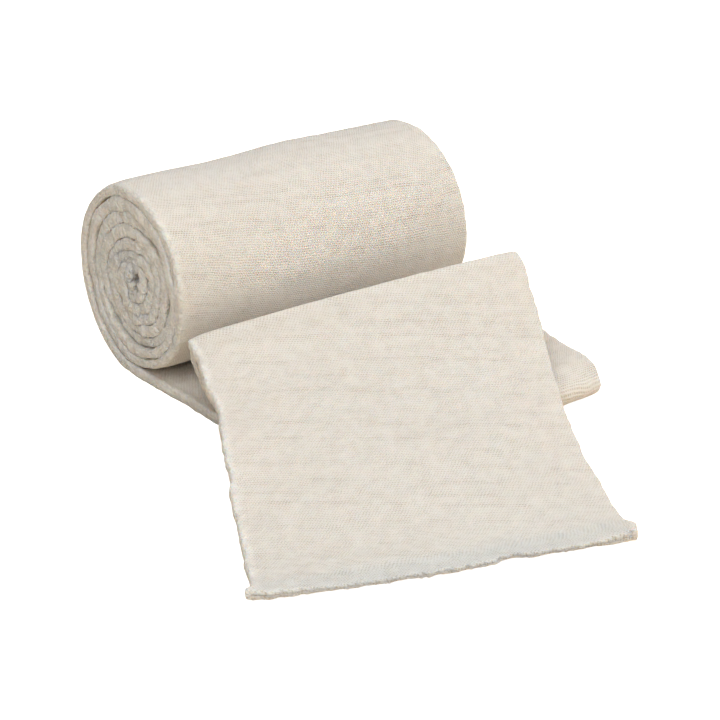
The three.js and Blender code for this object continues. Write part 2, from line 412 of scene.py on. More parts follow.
def distances(points):
    """How far along a line of points each one lies."""
    return np.concatenate([[0], np.cumsum(np.linalg.norm(np.diff(points, axis=0), axis=1))])


def points_at(place, places, points):
    """Points at given places between others of known places."""
    return np.stack([np.interp(place, places, points[:, k]) for k in range(3)], -1)


def spline(points, place):
    """A centripetal Catmull-Rom curve through points, place counting from one to the next."""
    points = np.asarray(points, float)
    padded = np.vstack([2 * points[0] - points[1], points, 2 * points[-1] - points[-2]])
    place = np.atleast_1d(place)
    row = np.clip(np.floor(place).astype(int), 0, len(points) - 2)
    t = (place - row)[:, None]
    p0, p1, p2, p3 = (padded[row + k] for k in range(4))
    pairs = (p0, p1), (p1, p2), (p2, p3)
    d0, d1, d2 = (np.sqrt(np.linalg.norm(b - a, axis=1))[:, None] for a, b in pairs)
    m1 = ((p1 - p0) / d0 - (p2 - p0) / (d0 + d1) + (p2 - p1) / d1) * d1
    m2 = ((p2 - p1) / d1 - (p3 - p1) / (d1 + d2) + (p3 - p2) / d2) * d1
    bend = (3 * (p2 - p1) - 2 * m1 - m2) * t**2
    return p1 + m1 * t + bend + (2 * (p1 - p2) + m1 + m2) * t**3


# How the cloth lies


class Lie:
    """The middle of the cloth's thickness: its two edges at each cross section."""

    def __init__(self, size):
        self.size = size
        turns = self.wound_turns()
        wound_left, wound_right = self.wound(turns)
        loose_left, loose_right, crown, place = self.loose(wound_left, wound_right)
        self.left = np.vstack([wound_left, loose_left])
        self.right = np.vstack([wound_right, loose_right])
        self.crown = np.concatenate([np.zeros(len(turns)), crown])
        self.turn = np.concatenate([turns, np.zeros(len(crown))])
        self.wound_rows = len(turns)
        middle = (self.left + self.right) / 2
        middle[: self.wound_rows, 0] = 0
        steps = np.linalg.norm(np.diff(middle, axis=0), axis=1)
        last, first = middle[self.wound_rows - 1], middle[self.wound_rows]
        steps[self.wound_rows - 1] = np.linalg.norm((first - last)[1:])
        self.length = np.concatenate([[0], np.cumsum(steps)])
        self.past_cut = self.length - self.length[-1]
        self.loose_run = self.length - self.length[self.wound_rows]
        self.row_place = np.concatenate([np.full(len(turns), -1.0), place])

    def thickness(self, turn):
        """The turns of the roll are fuller than the loose end, and pressed thinner below the core."""
        size = self.size
        fuller = (size.wound - size.thickness) * ease(0.1, 0.7, turn)
        sag_slope = CORE_DROP + SAG * np.pi * np.cos(np.pi * self.inwards(turn))
        sag_slope = sag_slope / (size.turns - OUTER_TURN)
        share = 0.7 * ease(0.2, 0.42, turn) + 0.3 * ease(OUTER_TURN, 1.3, turn)
        pressed = sag_slope / size.pitch * share * np.cos(2 * np.pi * turn)
        return (size.thickness + fuller) * (1 - pressed)

    def inwards(self, turn):
        """0 in the outer turn and 1 at the core."""
        return np.clip((turn - OUTER_TURN) / (self.size.turns - OUTER_TURN), 0, 1)

    def wound_turns(self):
        """From the core to where the cloth comes down to the surface behind the roll."""
        size = self.size
        turns = [size.leave_turn]
        while turns[-1] < size.turns:
            radius = size.radius - size.pitch * turns[-1]
            step = (size.row_step if turns[-1] < HIDDEN_TURN else size.inner_step) / MM
            turns.append(turns[-1] + step / (2 * math.pi * max(radius, CORE_RADIUS)))
        turns[-1] = size.turns
        return np.array(turns[::-1])

    def wound(self, turn):
        """The two edges in the roll, where turns count from its lowest line inwards."""
        size = self.size
        outer = size.radius
        angle = 2 * np.pi * turn
        half_thick = self.thickness(turn) / 2
        radius = outer - size.pitch * turn - half_thick
        depth = 1 - radius / outer
        lean = 2 * np.pi * size.oval_turn
        oval = size.oval / MM * np.minimum(1, radius / OVAL_RADIUS) * np.cos(2 * (angle - lean))
        core_lean = 2 * np.pi * size.core_turn
        flatter = size.core_oval / MM * ease(0.5, 0.92, depth)
        oval = oval + flatter * np.cos(2 * (angle - core_lean))
        waves = sum(w["size"] * np.sin(w["per_turn"] * angle + w["phase"]) for w in TURN_WAVES)
        reach = radius + oval + depth * waves
        for spot in SLACK_SPOTS:
            reach = reach - spot["inwards"] * np.exp(-(((turn - spot["turn"]) / spot["reach"]) ** 2))
        inwards = self.inwards(turn)
        sag = CORE_DROP * inwards + SAG * np.sin(np.pi * inwards)
        y = reach * np.sin(angle) + CORE_DROP * inwards
        z = size.centre - reach * np.cos(angle) - sag
        z = np.maximum(z, half_thick)
        half = ROLL_HALF - TURNS_BACK * ease(0.75, 1.15, turn) - CORE_BACK * depth
        loosened = ease(0.05, 0.5, turn) + 0.5 * ease(OUTER_TURN, 1.4, turn)
        out = [half + loosened * wanders(EDGE_WANDERS, -turn * TURN_CLOTH, side) for side in (0, 1)]
        return np.stack([-out[0], y, z], 1), np.stack([out[1] - size.right_short / MM, y, z], 1)

    def loose(self, wound_left, wound_right):
        """The two edges past the roll, the crown between them and the place in their table."""
        leads = [(side[-LEAD_ROWS], side[-1]) for side in (wound_left, wound_right)]
        left = np.array([*leads[0], *(row["left"] for row in LOOSE_END)])
        right = np.array([*leads[1], *(row["right"] for row in LOOSE_END)])
        crown = np.concatenate([[0, 0], column(LOOSE_END, "crown")])
        fine = np.linspace(1, len(left) - 1, CURVE_POINTS)
        run = distances((spline(left, fine) + spline(right, fine)) / 2)
        plain = np.arange(LOOSE_STEP, run[-1] - CUT_ZONE, LOOSE_STEP)
        near_cut = np.arange(plain[-1] + CUT_STEP, run[-1], CUT_STEP)
        stations = np.concatenate([plain, near_cut, [run[-1]]])
        place = np.interp(stations, run, fine)
        crowns = np.interp(place, np.arange(len(crown)), crown)
        return spline(left, place), spline(right, place), crowns, place - len(leads[0])

    def run_at(self, name):
        """How far along the loose end a named row of its table or a turn of the roll lies."""
        if not isinstance(name, str):
            wound = slice(self.wound_rows - 1, None, -1)
            return np.interp(name, self.turn[wound], self.loose_run[wound])
        row = [r["at"] for r in LOOSE_END].index(name)
        loose = slice(self.wound_rows, None)
        return np.interp(row, self.row_place[loose], self.loose_run[loose])


class Skin:
    """The skin of the flat tube round its middle surface, as rings of points."""

    def __init__(self, lie):
        self.lie = lie
        size = lie.size
        self.width = size.cloth_width / MM
        self.columns()
        across = self.across
        edge = unit(lie.right - lie.left)
        left, right = self.edges(edge)
        middle = left[:, None] * (1 - across[None, :, None]) + right[:, None] * across[None, :, None]
        middle[:, :, 2] += lie.crown[:, None] * np.sin(np.pi * across)[None]
        self.pull_corners(middle, edge)
        run = unit(np.gradient(middle, axis=0))
        normal = unit(np.cross(run, edge[:, None] * np.ones_like(middle)))
        middle = self.swollen(middle)
        u = across[None, :] * self.width
        v = lie.length[:, None]
        half = lie.thickness(lie.turn)[:, None] / 2
        half = half * sum((p["size"] * patchy(u, v, p["across"], p["along"], p["seed"]) for p in LUMPS), 1)
        half = half * (1 + self.puffs()) * self.thinning()
        above, below = self.side_shares()
        self.upper = middle + normal * (half * above)[:, :, None]
        self.lower = middle - normal * (half * below)[:, :, None]
        self.part_at_cut(run, normal)

    def columns(self):
        """Lines along the cloth: the fine set, and which of them the plainer stretches use."""
        insets = column(EDGE_SECTION, "inset")
        blunt, outer = (self.section(name) for name in ("share", "outer"))
        flat = np.linspace(insets[-1], self.width - insets[-1], FLAT_GAPS + 1)
        place = np.concatenate([[0], insets[:-1], flat, self.width - insets[-2::-1], [self.width]])
        fine, shown = [], [0]
        for low, high in zip(place[:-1], place[1:]):
            cuts = max(1, math.ceil((high - low) / FINE_GAP))
            fine += [low + (high - low) * k / cuts for k in range(cuts)]
            shown.append(len(fine))
        fine.append(self.width)
        edge = len(insets)
        last = len(place) - 1
        seen = edge - 2
        keep = [*range(seen + 1), last // 2, *range(last - seen, last + 1)]
        self.across = np.array(fine) / self.width
        self.share = np.interp(fine, place, blunt)
        self.outer_share = np.interp(fine, place, outer)
        bulge = self.share * self.lie.size.wound / 2
        self.mapped = np.concatenate([[0], np.cumsum(np.hypot(np.diff(fine), np.diff(bulge)))])
        self.shown = np.array(shown)
        self.hidden = self.shown[keep]
        self.fine = np.arange(len(fine))

    def mapped_width(self):
        """How wide one side of the flat tube is in the cloth's map."""
        return float(self.mapped[-1])

    def section(self, name):
        """A share of the edge's section at the lines of the plain set."""
        shares = column(EDGE_SECTION, name)
        return np.concatenate([[0], shares[:-1], np.ones(FLAT_GAPS + 1), shares[-2::-1], [0]])

    def edges(self, edge):
        """The two long edges, with the loose end's strays and scallops."""
        lie = self.lie
        grown = ease(-4, 12, lie.loose_run)
        past = lie.loose_run - lie.run_at("back fold, top")
        left, right = lie.left.copy(), lie.right.copy()
        for side, points, outwards, seed in (("left", left, -1, 0), ("right", right, 1, RIGHT_SEED)):
            waves = np.interp(past, column(EDGE_SHAPE, "past"), column(EDGE_SHAPE, side))
            waves = waves + wanders(SCALLOPS, lie.loose_run, seed)
            points += (outwards * waves * grown)[:, None] * edge
        return left, right

    def pull_corners(self, middle, edge):
        """Rounds off or draws out the corners, and the cloth beside them a little."""
        inset = self.across * self.width
        for corner in CORNERS:
            along = (self.lie.loose_run - self.lie.run_at(corner["at"])) / corner["reach"]
            left = corner["side"] == "left"
            into = (inset if left else self.width - inset) / corner["deep"]
            share = np.exp(-(along**2))[:, None] * np.exp(-(into**2))[None]
            pull = edge * corner["inwards"] * (1 if left else -1) - np.array([0, 0, corner["down"]])
            middle += share[:, :, None] * pull[:, None]

    def side_shares(self):
        """The edge's section on both sides of the cloth, rounder where it shows from outside."""
        lie = self.lie
        rounder = self.outer_share - self.share
        past = lie.loose_run - lie.run_at("back fold, behind")
        flap = FLAP_ROUNDING * ease(0, 4, past) * (1 - ease(-CUT_ZONE, -CUT_ZONE / 2, lie.past_cut))
        outer_turn = ease(0.24, 0.42, lie.turn) * (1 - ease(0.85, 1.05, lie.turn))
        one_end = 1 - RIGHT_END_BLUNT * ease(0.3, 0.7, self.across)
        above = self.share[None] + flap[:, None] * rounder[None]
        below = self.share[None] + outer_turn[:, None] * (rounder * one_end)[None]
        return above, below

    def puffs(self):
        """How much fuller than the mean the cloth is near its folded edges in the roll."""
        lie = self.lie
        inset = self.across * self.width
        out = np.zeros((len(lie.length), len(inset)))
        for side, into in enumerate((inset, self.width - inset)):
            waves = wanders(EDGE_PUFFS, lie.length, side) * (0.4 + 0.6 * ease(0.1, 1.1, lie.turn))
            out += waves[:, None] * np.exp(-((into / PUFF_REACH) ** 2))[None]
        return out

    def thinning(self):
        """The cloth's thickness towards the cut, against the rest of it."""
        return 1 + self.near_cut() * (self.cut_column("thick") - 1)[None]

    def near_cut(self):
        """0 in the plain cloth and 1 at the cut, by cross section."""
        return ease(-CUT_ZONE, 0, self.lie.past_cut)[:, None]

    def cut_column(self, name):
        """A column of the cut's table at each line along the cloth."""
        return np.interp(self.across * self.width, column(CUT_LINE, "across"), column(CUT_LINE, name))

    def swollen(self, middle):
        """The roll's outer turn swells and sinks a little along its axis."""
        lie = self.lie
        turn = lie.turn[:, None]
        share = self.across[None, :]
        swell = np.zeros((len(turn), len(self.across)))
        for s in ROLL_SWELLS:
            along = np.sin(2 * np.pi * s["per_width"] * share + s["start"])
            swell += s["size"] * along * np.sin(s["per_turn"] * 2 * np.pi * turn + s["phase"])
        swell *= np.sin(np.pi * share) * ease(0, 0.12, turn) * (1 - 0.6 * ease(OUTER_TURN, 2.5, turn))
        out = middle.copy()
        out[:, :, 1] += middle[:, :, 1] * swell
        out[:, :, 2] += (middle[:, :, 2] - lie.size.centre) * swell
        return out

    def part_at_cut(self, run, normal):
        """Towards the cut each ply ends in its own bumpy line."""
        near = self.near_cut()
        past, short, lift = (self.cut_column(name) for name in ("past", "short", "lift"))
        for ply, skin in enumerate((self.upper, self.lower)):
            bumps = wanders(CUT_BUMPS, self.across * self.width, ply)
            skin += run * (near * (past - ply * short + bumps))[:, :, None]
            skin += normal * (near * lift)[:, :, None]


def skin_mesh(skin):
    """Points, faces and cloth positions of the whole skin, closed at the core and at the cut."""
    lie = skin.lie
    rings = np.concatenate([skin.upper, skin.lower[:, -2:0:-1]], axis=1)
    u_ring = np.concatenate([skin.mapped, 2 * skin.mapped[-1] - skin.mapped[-2:0:-1]])
    mesh = RingMesh(u_ring, len(skin.across))
    for points, run, turn, past_cut in zip(rings, lie.length, lie.turn, lie.past_cut):
        level = skin.hidden if turn > HIDDEN_TURN else skin.shown
        mesh.add(points, run, skin.fine if past_cut > 1 - CUT_ZONE else level)
    for points, run in cut_rings(skin, rings):
        mesh.add(points, run, skin.fine)
    mesh.cap(0, skin.hidden, True)
    mesh.cap(-1, skin.fine, False)
    return mesh


def cut_rings(skin, rings):
    """The raw edge: round each ply's end, and back between the plies to where they meet."""
    lines = len(skin.across)
    end = rings[-1]
    ahead = unit(end - rings[-2])
    ends = skin.lie.length[-1]
    for lip in LIP_RINGS:
        inner = inside(end, lines, 1)
        points = end * (1 - lip["share"]) + inner * lip["share"] + ahead * lip["out"]
        yield points, ends + lip["out"]
    for step in INSIDE_RINGS:
        row = int(np.argmin(np.abs(skin.lie.length - (ends - step["back"]))))
        yield inside(rings[row], lines, step["open"]), ends - step["back"]


def inside(ring, lines, openness):
    """The ring of the tube's inner face, one ply in from the outer face."""
    upper = ring[:lines]
    lower = np.vstack([ring[0], ring[lines:][::-1], ring[lines - 1]])
    middle = (upper + lower) / 2
    half = (upper - lower) / 2
    tall = np.linalg.norm(half, axis=1)[:, None]
    kept = np.maximum(tall - PLY, HALF_GAP) * openness
    half = half / np.maximum(tall, 1e-6) * kept
    half[[0, -1]] = 0
    inset = distances(middle)
    width = inset[-1]
    pulled = np.clip(inset, PLY + inset / width, width - PLY - (width - inset) / width)
    middle = points_at(np.sort(pulled), inset, middle)
    return np.vstack([middle + half, (middle - half)[-2:0:-1]])


class RingMesh:
    """A tube of rings of points, where a ring may use fewer points than its neighbour.

    u_ring is the place of each point round the tube, and lines is how many of them are on top.
    """

    def __init__(self, u_ring, lines):
        self.count, self.u_ring, self.lines = len(u_ring), u_ring, lines
        self.points, self.faces, self.maps = [], [], []
        self.rings = []

    def around(self, level):
        """The ring's own numbers of a set of lines, upper face first and lower face back."""
        lower = [self.count - k for k in level[-2:0:-1]]
        return [*(int(k) for k in level), *(int(k) for k in lower)]

    def add(self, points, run, level):
        """The next ring, at this run along the cloth, with the points of a set of lines."""
        first = len(self.points)
        used = self.around(level)
        self.points += [points[k] for k in used]
        names = {k: first + i for i, k in enumerate(used)}
        self.rings.append((names, used, run))
        if len(self.rings) > 1:
            self.join(self.rings[-2], self.rings[-1])

    def join(self, back, front):
        """Faces from one ring to the next, as wide as the coarser ring's gaps."""
        coarse = back if len(back[1]) <= len(front[1]) else front
        stops = [*coarse[1], self.count]
        for start, stop in zip(stops[:-1], stops[1:]):
            behind = self.stretch(back, start, stop)
            before = self.stretch(front, start, stop)
            self.face([*behind[:1], *before, *behind[:0:-1]])

    def stretch(self, ring, start, stop):
        """A ring's corners from one of its numbers to another."""
        names, used, run = ring
        picked = [k for k in range(start, stop) if k in names] + [stop]
        return [(names[k % self.count], self.across(k), run) for k in picked]

    def across(self, k):
        """Where a ring's point lies round the tube."""
        return self.u_ring[k] if k < self.count else 2 * self.u_ring[self.lines - 1]

    def face(self, corners):
        self.faces.append([c[0] for c in corners])
        self.maps += [(c[1], c[2]) for c in corners]

    def cap(self, which, level, turned):
        """Faces that close a ring, its upper side against its lower side."""
        names, _, run = self.rings[which]
        for low, high in zip(level[:-1], level[1:]):
            corners = [low, high, (self.count - high) % self.count, (self.count - low) % self.count]
            if high == self.lines - 1:
                corners.pop(2)
            if low == 0:
                corners.pop()
            face = [(names[int(k)], self.across(int(k)), run) for k in corners]
            self.face(face if turned else face[::-1])


def make_piece(name, points, faces, face_map):
    """A smooth mesh object of part-frame metres with the named cloth map."""
    mesh = bpy.data.meshes.new(name)
    places = (np.asarray(points) - ORIGIN) * MM
    places[:, 2] = np.maximum(places[:, 2], 0)
    mesh.from_pydata(places.tolist(), [], faces)
    layer = mesh.uv_layers.new(name=CLOTH_MAP)
    layer.data.foreach_set("uv", np.asarray(face_map, float).ravel())
    mesh.polygons.foreach_set("use_smooth", [True] * len(mesh.polygons))
    mesh.update()
    piece = bpy.data.objects.new(name, mesh)
    bpy.context.scene.collection.objects.link(piece)
    return piece


def yarn_loops(skin):
    """Small loops of cut yarn that stand out of the raw edge of both plies."""
    chance = np.random.default_rng(YARN_SEED)
    ahead = unit(skin.upper[-1] - skin.upper[-3])
    u = skin.across * skin.width
    points, faces, maps = [], [], []
    for ply, sign in ((skin.upper[-1], 1), (skin.lower[-1], -1)):
        thick = skin.upper[-1] - skin.lower[-1]
        thick /= np.maximum(np.linalg.norm(thick, axis=1), 0.3)[:, None]
        place = LOOPLESS_EDGE
        while place < skin.width - LOOPLESS_EDGE:
            out = chance.uniform(*LOOP_OUT)
            wide = chance.uniform(*LOOP_WIDE)
            drop = chance.uniform(*LOOP_DEEP)
            tilt = chance.uniform(*LOOP_TILT)
            path = []
            for angle in np.linspace(0, math.pi, LOOP_POINTS):
                at = place - wide * math.cos(angle)
                spot, lead, up = (points_at(at, u, of) for of in (ply, ahead, thick * sign))
                rise = math.sin(angle)
                path.append(spot + lead * (LOOP_FOOT + out * rise) - up * (drop + tilt * rise))
            add_tube(points, faces, maps, np.array(path), (place, skin.lie.length[-1]))
            place += YARN_PITCH * chance.uniform(*LOOP_SPACING)
    return points, faces, maps


def add_tube(points, faces, maps, path, spot, sides=YARN_SIDES):
    """A closed round yarn along a path, added to the lists of one mesh."""
    first = len(points)
    lead = unit(np.gradient(path, axis=0))
    side = unit(np.cross(lead, OFF_LOOP))
    over = np.cross(lead, side)
    for middle, a, b in zip(path, side, over):
        for k in range(sides):
            angle = 2 * math.pi * k / sides
            points.append(middle + YARN_RADIUS * (a * math.cos(angle) + b * math.sin(angle)))
    for ring in range(first, first + (len(path) - 1) * sides, sides):
        for k in range(sides):
            a = ring + k
            b = ring + (k + 1) % sides
            faces.append([a, b, b + sides, a + sides])
    end = len(points) - sides
    faces.append([first + k for k in range(sides)][::-1])
    faces.append([end + k for k in range(sides)])
    corners = sum(len(face) for face in faces) - len(maps)
    maps += [spot] * corners


# Knit finish


class Wiring:
    """Short ways to place and link the nodes of one tree."""

    def __init__(self, tree):
        self.tree = tree

    def node(self, kind, inputs=None, **settings):
        """A new node with its settings, and with values or links for its named inputs."""
        made = self.tree.nodes.new(kind)
        for key, value in settings.items():
            setattr(made, key, value)
        for label, value in (inputs or {}).items():
            self.feed(made.inputs[label], value)
        return made

    def feed(self, socket, value):
        if isinstance(value, bpy.types.NodeSocket):
            self.tree.links.new(value, socket)
        else:
            socket.default_value = value

    def sum(self, operation, *values, clamp=False):
        """What one step of arithmetic gives."""
        made = self.node("ShaderNodeMath", operation=operation, use_clamp=clamp)
        for socket, value in zip(made.inputs, values):
            self.feed(socket, value)
        return made.outputs[0]

    def noise(self, vector, scale, detail=2.0, rough=0.5):
        inputs = {"Vector": vector, "Scale": scale, "Detail": detail, "Roughness": rough}
        return self.node("ShaderNodeTexNoise", inputs, noise_dimensions="3D").outputs["Fac"]

    def vector(self, x, y, z=0.0):
        return self.node("ShaderNodeCombineXYZ", {"X": x, "Y": y, "Z": z}).outputs[0]

    def between(self, value, low, high):
        """0 where value is low, 1 where it is high, smooth between."""
        inputs = {"Value": value, "From Min": low, "From Max": high}
        return self.node("ShaderNodeMapRange", inputs, interpolation_type="SMOOTHSTEP").outputs["Result"]

    def mixed(self, factor, a, b, kind="FLOAT"):
        inputs = {"Factor": factor, "A": a, "B": b}
        return self.node("ShaderNodeMix", inputs, data_type=kind).outputs["Result"]

    def shaded(self, colour, strength):
        """A colour or a place, times a number."""
        made = self.node("ShaderNodeVectorMath", operation="SCALE")
        self.feed(made.inputs[0], colour)
        self.feed(made.inputs["Scale"], strength)
        return made.outputs[0]


def new_group(name, inputs, outputs):
    """A shader node group with inputs by their defaults, its wiring and its two ends' sockets."""
    group = bpy.data.node_groups.new(name, "ShaderNodeTree")
    for label, value in inputs.items():
        kind = "NodeSocketVector" if isinstance(value, tuple) else "NodeSocketFloat"
        socket = group.interface.new_socket(label, in_out="INPUT", socket_type=kind)
        socket.default_value = value
    for label in outputs:
        group.interface.new_socket(label, in_out="OUTPUT", socket_type="NodeSocketFloat")
    w = Wiring(group)
    return group, w, w.node("NodeGroupInput").outputs, w.node("NodeGroupOutput").inputs


def fuzz_group():
    """Brushed cotton: short tangled fibres, soft clumps and small specks, in millimetres of cloth."""
    group, w, given, result = new_group(
        FUZZ_GROUP,
        {"Cloth Position": (0, 0, 0), "Fibre Size": CLOTH_FIBRE, "Clump Size": 1.1},
        ["Fibres", "Clumps", "Blots", "Tone"],
    )
    place = given["Cloth Position"]
    fine = w.noise(w.shaded(place, w.sum("DIVIDE", 1.0, given["Fibre Size"])), 1.0, 3, 0.6)
    clump = w.noise(w.shaded(place, w.sum("DIVIDE", 1.0, given["Clump Size"])), 1.0, 2)
    w.feed(result["Fibres"], w.sum("MULTIPLY_ADD", fine, 0.7, w.sum("MULTIPLY", clump, 0.3)))
    w.feed(result["Clumps"], clump)
    # Random patches that the material paints as shade and light on the folded edges
    w.feed(result["Blots"], w.between(w.noise(place, 0.32, 3, 0.6), 0.3, 0.7))
    speck = w.between(w.noise(place, 1.1, 2), 0.68, 0.8)
    tone = w.sum("MULTIPLY_ADD", w.noise(place, 0.05, 3, 0.6), 0.08, 0.96)
    w.feed(result["Tone"], w.sum("SUBTRACT", tone, w.sum("MULTIPLY", speck, 0.06)))
    return group


def knit_group():
    """Rows of small stitches that climb round the tube like a screw's thread, in millimetres."""
    group, w, given, result = new_group(
        "Bandage knit",
        {
            "Round Tube": 0.0,
            "Along Tube": 0.0,
            "Tube Width": 100.0,
            "Row Pitch": 0.65,
            "Stitch Pitch": 0.8,
            "Wobble": 0.35,
        },
        ["Height", "Pits", "Fold"],
    )
    across, along, width = given["Round Tube"], given["Along Tube"], given["Tube Width"]
    place = w.vector(across, along)
    # The rows climb round the tube and waver, and off is how far a place is from its row's middle
    sides = w.sum("DIVIDE", across, width)
    first = w.sum("MULTIPLY", w.sum("MINIMUM", sides, 1.0), CLIMB_ROWS * FIRST_SIDE_CLIMB)
    second = w.sum("POWER", w.sum("MAXIMUM", w.sum("SUBTRACT", sides, 1.0), 0.0), SECOND_SIDE_CURVE)
    climb = w.sum("MULTIPLY_ADD", second, CLIMB_ROWS * (1 - FIRST_SIDE_CLIMB), first)
    drift = w.sum("SUBTRACT", w.noise(place, 0.06, 2), 0.5)
    shake = w.sum("SUBTRACT", w.noise(place, 0.8, 2), 0.5)
    stray = w.sum("MULTIPLY_ADD", drift, 8.0, w.sum("MULTIPLY", shake, 0.7))
    along = w.sum("MULTIPLY_ADD", stray, given["Wobble"], along)
    rows = w.sum("SUBTRACT", w.sum("DIVIDE", along, given["Row Pitch"]), climb)
    row = w.sum("ROUND", rows)
    off = w.sum("SUBTRACT", rows, row)
    # Every second row has its stitches half a stitch further on
    odd = w.sum("ABSOLUTE", w.sum("MODULO", row, 2.0))
    shaken = w.sum("MULTIPLY_ADD", shake, 0.5, across)
    stitch = w.sum("MULTIPLY_ADD", odd, 0.5, w.sum("DIVIDE", shaken, given["Stitch Pitch"]))
    groove = w.sum("POWER", w.sum("COSINE", w.sum("MULTIPLY", off, math.pi)), 2.0)
    dot = w.sum("MULTIPLY_ADD", w.sum("COSINE", w.sum("MULTIPLY", stitch, 2 * math.pi)), 0.5, 0.5)
    # Some courses are deeper over a stretch, and so are random patches; deeper pits get more relief and
    # more painted shade
    course = w.sum("FLOOR", w.sum("MULTIPLY", row, 0.5))
    chance = w.node("ShaderNodeTexWhiteNoise", {"W": course}, noise_dimensions="1D")
    reach = w.vector(w.sum("MULTIPLY", across, 0.1), w.sum("MULTIPLY", course, 0.8))
    broken = w.between(w.noise(reach, 1.0, 3, 0.6), 0.35, 0.65)
    deeper_patch = w.between(w.noise(place, 0.3, 3, 0.6), 0.3, 0.7)
    strong = w.sum("MULTIPLY", w.sum("POWER", chance.outputs["Value"], 2.0), broken)
    deep = w.sum("MULTIPLY_ADD", strong, 0.3, w.sum("MULTIPLY_ADD", deeper_patch, 0.3, 0.35))
    pits = w.sum("MULTIPLY", w.sum("MULTIPLY", groove, deep), w.sum("MULTIPLY_ADD", dot, 0.85, 0.15))
    # The folded edges are woolly, without stitches
    from_fold = w.sum("PINGPONG", across, width)
    fold = w.sum("SUBTRACT", 1.0, w.between(from_fold, 1.6, 4.4))
    woolly = w.sum("SUBTRACT", 1.0, fold)
    w.feed(result["Height"], w.sum("SUBTRACT", 1.0, w.sum("MULTIPLY", pits, woolly)))
    # Pits also carries the painted shade that the material puts in the pits between stitches
    w.feed(result["Pits"], w.sum("MULTIPLY", pits, woolly))
    w.feed(result["Fold"], fold)
    return group


def cotton_material(name, width, look, fibre, fuzz, knit=None):
    """Undyed cotton: the fuzz everywhere, and the knit where a knit group is given."""
    material = bpy.data.materials.new(name)
    material.use_nodes = True
    tree = material.node_tree
    tree.nodes.clear()
    w = Wiring(tree)
    uv = w.node("ShaderNodeUVMap", uv_map=CLOTH_MAP).outputs["UV"]
    across, along, _ = w.node("ShaderNodeSeparateXYZ", {"Vector": uv}).outputs
    angle = w.sum("MULTIPLY", across, math.pi / width)
    tube = [w.sum("MULTIPLY", w.sum(side, angle), width / math.pi) for side in ("COSINE", "SINE")]
    spot = {"Cloth Position": w.vector(*tube, along), "Fibre Size": fibre}
    nap = w.node("ShaderNodeGroup", spot, node_tree=fuzz).outputs
    height = w.sum("MULTIPLY", nap["Fibres"], look.fuzz)
    # Painted shade: the colour darkens where the fuzz's fibres are low
    dark = w.sum("MULTIPLY_ADD", nap["Fibres"], -0.3, 0.2, clamp=True)
    tone = nap["Tone"]
    if knit:
        given = {
            "Round Tube": across,
            "Along Tube": along,
            "Tube Width": width,
            "Row Pitch": look.row_pitch / MM,
            "Stitch Pitch": look.stitch_pitch / MM,
            "Wobble": look.wobble / MM,
        }
        stitches = w.node("ShaderNodeGroup", given, node_tree=knit).outputs
        height = w.sum("ADD", height, stitches["Height"])
        tufts = w.sum("MULTIPLY", nap["Clumps"], stitches["Fold"])
        height = w.sum("MULTIPLY_ADD", tufts, look.fold_tufts, height)
        # The knit's pits add more painted shade, as strong as pit_shade
        dark = w.sum("MULTIPLY_ADD", stitches["Pits"], look.pit_shade, dark, clamp=True)
        # Random patches of painted shade and light on the folded edges, for the shade of the fuzz's clumps
        fold_shade = w.sum("MULTIPLY_ADD", nap["Blots"], look.fold_shade_patches, 1 - look.fold_shade_patches * 0.5)
        tone = w.sum("MULTIPLY", tone, w.mixed(stitches["Fold"], 1.0, fold_shade))
    # The yarn's colour, mixed towards the painted shade colour by how much painted shade there is
    colour = w.mixed(dark, (*look.yarn_colour, 1), (*look.painted_shade_colour, 1), "RGBA")
    bump = w.node("ShaderNodeBump", {"Height": height, "Strength": 0.9, "Distance": look.relief})
    surface = {
        "Base Color": w.shaded(colour, tone),
        "Roughness": w.sum("MULTIPLY_ADD", dark, 0.1, 0.86),
        "Normal": bump.outputs["Normal"],
        **COTTON_SHEEN,
    }
    shader = w.node("ShaderNodeBsdfPrincipled", surface)
    w.node("ShaderNodeOutputMaterial", {"Surface": shader.outputs["BSDF"]})
    return material


# Settings


